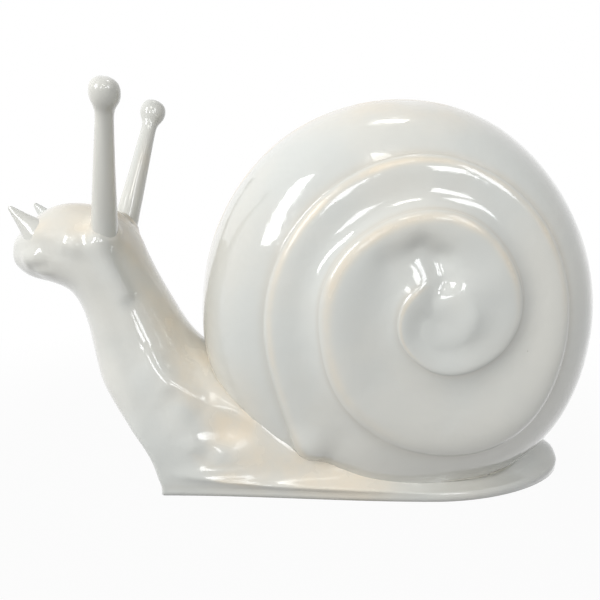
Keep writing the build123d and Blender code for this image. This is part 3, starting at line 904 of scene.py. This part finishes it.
def start_material(name):
    """An empty node material with its shader."""
    material = bpy.data.materials.new(name)
    material.use_nodes = True
    return material, material.node_tree, material.node_tree.nodes["Principled BSDF"]


def dress(tree, shader, colour, roughness, height, distance, strength):
    """Links a colour, a roughness and a bump to a shader. The height is in shares of a distance in metres."""
    bump = tree.nodes.new("ShaderNodeBump")
    bump.inputs["Distance"].default_value = distance
    bump.inputs["Strength"].default_value = strength
    tree.links.new(colour, shader.inputs["Base Color"])
    tree.links.new(roughness, shader.inputs["Roughness"])
    tree.links.new(height, bump.inputs["Height"])
    tree.links.new(bump.outputs["Normal"], shader.inputs["Normal"])


def lacquer_material(name, unevenness, coat_roughness):
    """The glossy white coat on a skin: more or less uneven, under a clear layer that is more or less dull."""
    material, tree, shader = start_material(name)
    finish = tree.nodes.new("ShaderNodeGroup")
    finish.node_tree = lacquer
    tree.links.new(object_place(tree), finish.inputs["Place"])
    tree.links.new(mask(tree, "cream"), finish.inputs["Cream"])
    tree.links.new(mask(tree, "crease"), finish.inputs["Crease"])
    colour, roughness, height, gloss = finish.outputs
    dress(tree, shader, colour, roughness, height, BUMP_DISTANCE, unevenness)
    tree.links.new(gloss, shader.inputs["Coat Weight"])
    shader.inputs["IOR"].default_value = LACQUER_IOR
    shader.inputs["Coat Roughness"].default_value = coat_roughness
    shader.inputs["Coat IOR"].default_value = LACQUER_IOR
    return material


laid_up = lacquer_material("white_lacquer", unevenness=0.5, coat_roughness=0.03)
cast = lacquer_material("white_lacquer_on_castings", unevenness=0.12, coat_roughness=0.14)
lacquered = [piece for piece in bpy.data.objects if piece.name.endswith("_skin")]
for piece in lacquered:
    piece.data.materials.append(laid_up if piece in (body_skin, shell_skin) else cast)
print("lacquered pieces", len(lacquered))

# %% [markdown]
# The pieces inside and below
#
# The solids that hold the snail together keep their shapes and get their own finishes: woven glass tape soaked in
# resin, grey adhesive, threaded steel, brass inserts and the plywood board that closes the foot. A second group
# gives the fine streaks that steel, brass and wood share, each with its own direction.

# %% Streak group
ROUGHER_STREAKS = 0.15
streaks, given, put = new_group(
    "streaks",
    [("Place", "NodeSocketVector", (0, 0, 0)), ("Fineness", "NodeSocketFloat", 60.0)],
    [("Value", "NodeSocketFloat")],
)
streak_noise = streaks.nodes.new("ShaderNodeTexNoise")
streak_noise.inputs["Detail"].default_value = 4.0
streaks.links.new(given.outputs["Place"], streak_noise.inputs["Vector"])
streaks.links.new(given.outputs["Fineness"], streak_noise.inputs["Scale"])
streaks.links.new(streak_noise.outputs["Fac"], put.inputs["Value"])


def streaked(name, dark, light, rough, metallic, stretch, fineness):
    """A material whose colour and roughness follow fine streaks along one direction."""
    material, tree, shader = start_material(name)
    turn = tree.nodes.new("ShaderNodeMapping")
    turn.inputs["Scale"].default_value = stretch
    tree.links.new(object_place(tree), turn.inputs["Vector"])
    grain = tree.nodes.new("ShaderNodeGroup")
    grain.node_tree = streaks
    grain.inputs["Fineness"].default_value = fineness
    tree.links.new(turn.outputs["Vector"], grain.inputs["Place"])
    value = ramp(tree, grain.outputs["Value"], 0.3, 0.7, 0.0, 1.0)
    roughness = ramp(tree, grain.outputs["Value"], 0.3, 0.7, rough, rough + ROUGHER_STREAKS)
    colour = mix_colour(tree, value, dark, light)
    shader.inputs["Metallic"].default_value = metallic
    dress(tree, shader, colour, roughness, value, distance=0.0004, strength=0.4)
    return material


# A row holds the dark and the light colour, the roughness, how metallic it is, the stretch and the fineness.
streak_rows = {
    "sole_board": ((0.30, 0.19, 0.10, 1), (0.52, 0.37, 0.22, 1), 0.55, 0.0, (1.0, 9.0, 14.0), 26.0),
    "turned_steel": ((0.48, 0.48, 0.49, 1), (0.66, 0.66, 0.66, 1), 0.28, 1.0, (6.0, 6.0, 1.0), 180.0),
    "insert_brass": ((0.56, 0.41, 0.16, 1), (0.78, 0.60, 0.28, 1), 0.27, 1.0, (1.0, 1.0, 6.0), 160.0),
    "set_adhesive": ((0.50, 0.48, 0.43, 1), (0.62, 0.60, 0.54, 1), 0.5, 0.0, (1.0, 1.0, 1.0), 70.0),
}
board, plain_steel, brass, adhesive = [streaked(name, *row) for name, row in streak_rows.items()]
print("streaked finishes", len(streak_rows))

# %% [markdown]
# Threads and woven tape
#
# The rods carry a rolled thread. It is too fine to be worth a mesh, so a wave pattern across the rod gives its
# colour and its bump. Woven glass tape is two such patterns at right angles, and the higher strand is seen.

# %% Thread and tape
THREAD_PITCH = 0.001
WAVE_AT_SCALE_ONE = 0.314
STRAND_SCALE = 80.0
STRAND_WANDER = 0.6


def bands(tree, direction, scale, wander):
    """Bands across one direction, as a wave between 0 and 1 that may wander."""
    node = tree.nodes.new("ShaderNodeTexWave")
    node.bands_direction = direction
    node.inputs["Scale"].default_value = scale
    node.inputs["Distortion"].default_value = wander
    tree.links.new(object_place(tree), node.inputs["Vector"])
    return node.outputs["Fac"]


rod_steel, tree, shader = start_material("threaded_steel")
ridges = bands(tree, "Z", WAVE_AT_SCALE_ONE / THREAD_PITCH, 0.0)
colour = mix_colour(tree, ridges, (0.42, 0.42, 0.43, 1), (0.68, 0.68, 0.67, 1))
roughness = ramp(tree, ridges, 0.0, 1.0, 0.42, 0.26)
shader.inputs["Metallic"].default_value = 1.0
dress(tree, shader, colour, roughness, ridges, distance=0.0006, strength=0.8)

tape, tree, shader = start_material("glass_tape")
weave = [bands(tree, direction, STRAND_SCALE, STRAND_WANDER) for direction in ("X", "Z")]
over = math_node(tree, "MAXIMUM", weave[0], weave[1])
colour = mix_colour(tree, over, (0.42, 0.44, 0.33, 1), (0.66, 0.67, 0.55, 1))
roughness = ramp(tree, over, 0.0, 1.0, 0.25, 0.5)
dress(tree, shader, colour, roughness, over, distance=0.0008, strength=0.6)
print("nodes in the tape", len(tree.nodes))

# %% [markdown]
# Handing out the finishes
#
# The solids of the frame come with plain materials, and each mesh gets its own finish instead.

# %% Finishes inside
inside_finishes = {
    tape: ["body_seam_tape", "shell_seam_tape"],
    adhesive: ["shell_bond_line"],
    rod_steel: ["eye_rod_left", "eye_rod_right"],
    plain_steel: ["eye_washers", "eye_nuts", "horn_pin_left", "horn_pin_right", "sole_screws"],
    brass: ["sole_inserts"],
    board: ["sole_plate"],
}
for material, names in inside_finishes.items():
    for node_name in names:
        node_mesh = frame["nodes"][node_name].data
        node_mesh.materials.clear()
        node_mesh.materials.append(material)
print("solids with their own finish", sum(len(names) for names in inside_finishes.values()))

# %% [markdown]
# The lamps
#
# The light in the photograph is soft and comes mostly from high up on the left. Six lamps stand for windows: a
# large one on the left, weaker ones in front, on the right and above, and two behind the camera. Each shows as a
# reflection in the gloss, so their places were set by comparing the streaks with the photograph. They are
# rectangles, because the reflection of a window has straight edges.

# %% Lamps
scene.view_settings.view_transform = "Standard"


def area_lamp(name, place, aim, size, power, colour):
    """A rectangular lamp at a place that faces an aim."""
    data = bpy.data.lights.new(name, "AREA")
    data.shape = "RECTANGLE"
    data.size, data.size_y = size
    data.energy = power
    data.color = colour
    lamp = bpy.data.objects.new(name, data)
    away = np.array(place) - np.array(aim)
    away = away / np.linalg.norm(away)
    side = np.cross((0.0, 0.0, 1.0), away)
    side = side / np.linalg.norm(side)
    rise = np.cross(away, side)
    placed = np.eye(4)
    placed[:3] = np.stack([side, rise, away, place], axis=1)
    lamp.matrix_world = Matrix(placed.tolist())
    scene.collection.objects.link(lamp)


# A row holds the place, the aim, the width and height, the power and the colour.
lamps = {
    "window_left": ((-1.12, -1.08, 1.02), (0.0, 0.0, 0.2), (0.32, 0.90), 10.4, (0.98, 0.99, 1.0)),
    "window_front": ((0.03, -1.25, 1.50), (0.05, 0.0, 0.2), (0.40, 0.24), 1.9, (1.0, 0.98, 0.93)),
    "window_right": ((0.85, -1.20, 1.10), (0.1, 0.0, 0.2), (0.26, 0.70), 3.4, (0.95, 0.97, 1.0)),
    "window_above": ((0.12, 0.15, 1.75), (0.05, 0.0, 0.2), (0.30, 0.15), 0.9, (1.0, 0.985, 0.95)),
    "window_behind": ((-0.45, -2.50, 1.10), (0.05, 0.0, 0.2), (0.55, 0.50), 5.0, (0.98, 0.99, 1.0)),
    "window_low": ((0.78, -2.18, 1.15), (0.0, 0.0, 0.2), (0.45, 0.40), 3.6, (0.98, 0.99, 1.0)),
}
for name, row in lamps.items():
    area_lamp(name, *row)
print("lamps", len(lamps))

# %% [markdown]
# The pale room
#
# The world gives the soft light from all round, brightest from low on the left. Rays that look, from the camera,
# through something clear or off something glossy, find plain white instead, as in the photograph.

# %% Room
WHITE = (1.0, 1.0, 1.0, 1)
DIM_SIDE = (0.08, 0.085, 0.085, 1)
LIT_SIDE = (1.80, 1.80, 1.78, 1)
TOWARDS_LIGHT = (-0.86, 0.16, -0.48)


def looking(tree):
    """One for camera, transmission and glossy rays, and nought for the others."""
    rays = tree.nodes.new("ShaderNodeLightPath")
    seen = math_node(tree, "MAXIMUM", rays.outputs["Is Camera Ray"], rays.outputs["Is Transmission Ray"])
    return math_node(tree, "MAXIMUM", seen, rays.outputs["Is Glossy Ray"])


world = bpy.data.worlds.new("pale_room")
scene.world = world
world.use_nodes = True
tree = world.node_tree
background = tree.nodes["Background"]
towards_window = tree.nodes.new("ShaderNodeVectorMath")
towards_window.operation = "DOT_PRODUCT"
towards_window.inputs[1].default_value = TOWARDS_LIGHT
tree.links.new(tree.nodes.new("ShaderNodeTexCoord").outputs["Generated"], towards_window.inputs[0])
lit_side = ramp(tree, towards_window.outputs["Value"], -1.0, 1.0, 0.0, 1.0)
room = mix_colour(tree, lit_side, DIM_SIDE, LIT_SIDE)
tree.links.new(mix_colour(tree, looking(tree), room, WHITE), background.inputs["Color"])
background.inputs["Strength"].default_value = 1.0
print("nodes in the room", len(tree.nodes))

# %% [markdown]
# The floor
#
# The floor is a grey surface that takes light and shadow, and it glows white to rays that look. Near the snail a
# small share of the grey shows through the glow, and that is the soft shadow. Further away the floor is plain
# white, so no horizon shows.

# %% Floor
HALF_FLOOR = 6.0
FLOOR_DROP = 0.0005
corner_signs = [(-1, -1), (1, -1), (1, 1), (-1, 1)]
floor_corners = [(HALF_FLOOR * x, HALF_FLOOR * y, -FLOOR_DROP) for x, y in corner_signs]
floor_mesh = bpy.data.meshes.new("studio_floor")
floor_mesh.from_pydata(floor_corners, [], [(0, 1, 2, 3)])
floor_piece = bpy.data.objects.new("studio_floor", floor_mesh)
scene.collection.objects.link(floor_piece)
floor_finish, tree, shader = start_material("pale_floor")
shader.inputs["Base Color"].default_value = (0.24, 0.24, 0.235, 1)
shader.inputs["Roughness"].default_value = 0.9
shader.inputs["Specular IOR Level"].default_value = 0.1
glow = tree.nodes.new("ShaderNodeEmission")
from_middle = tree.nodes.new("ShaderNodeVectorMath")
from_middle.operation = "LENGTH"
tree.links.new(object_place(tree), from_middle.inputs[0])
whiter = ramp(tree, from_middle.outputs["Value"], 0.30, 0.75, 0.96, 1.0)
shown = math_node(tree, "MULTIPLY", looking(tree), whiter)
mixed = tree.nodes.new("ShaderNodeMixShader")
tree.links.new(shown, mixed.inputs["Fac"])
tree.links.new(shader.outputs["BSDF"], mixed.inputs[1])
tree.links.new(glow.outputs["Emission"], mixed.inputs[2])
tree.links.new(mixed.outputs["Shader"], tree.nodes["Material Output"].inputs["Surface"])
floor_mesh.materials.append(floor_finish)
print("nodes in the floor", len(tree.nodes))
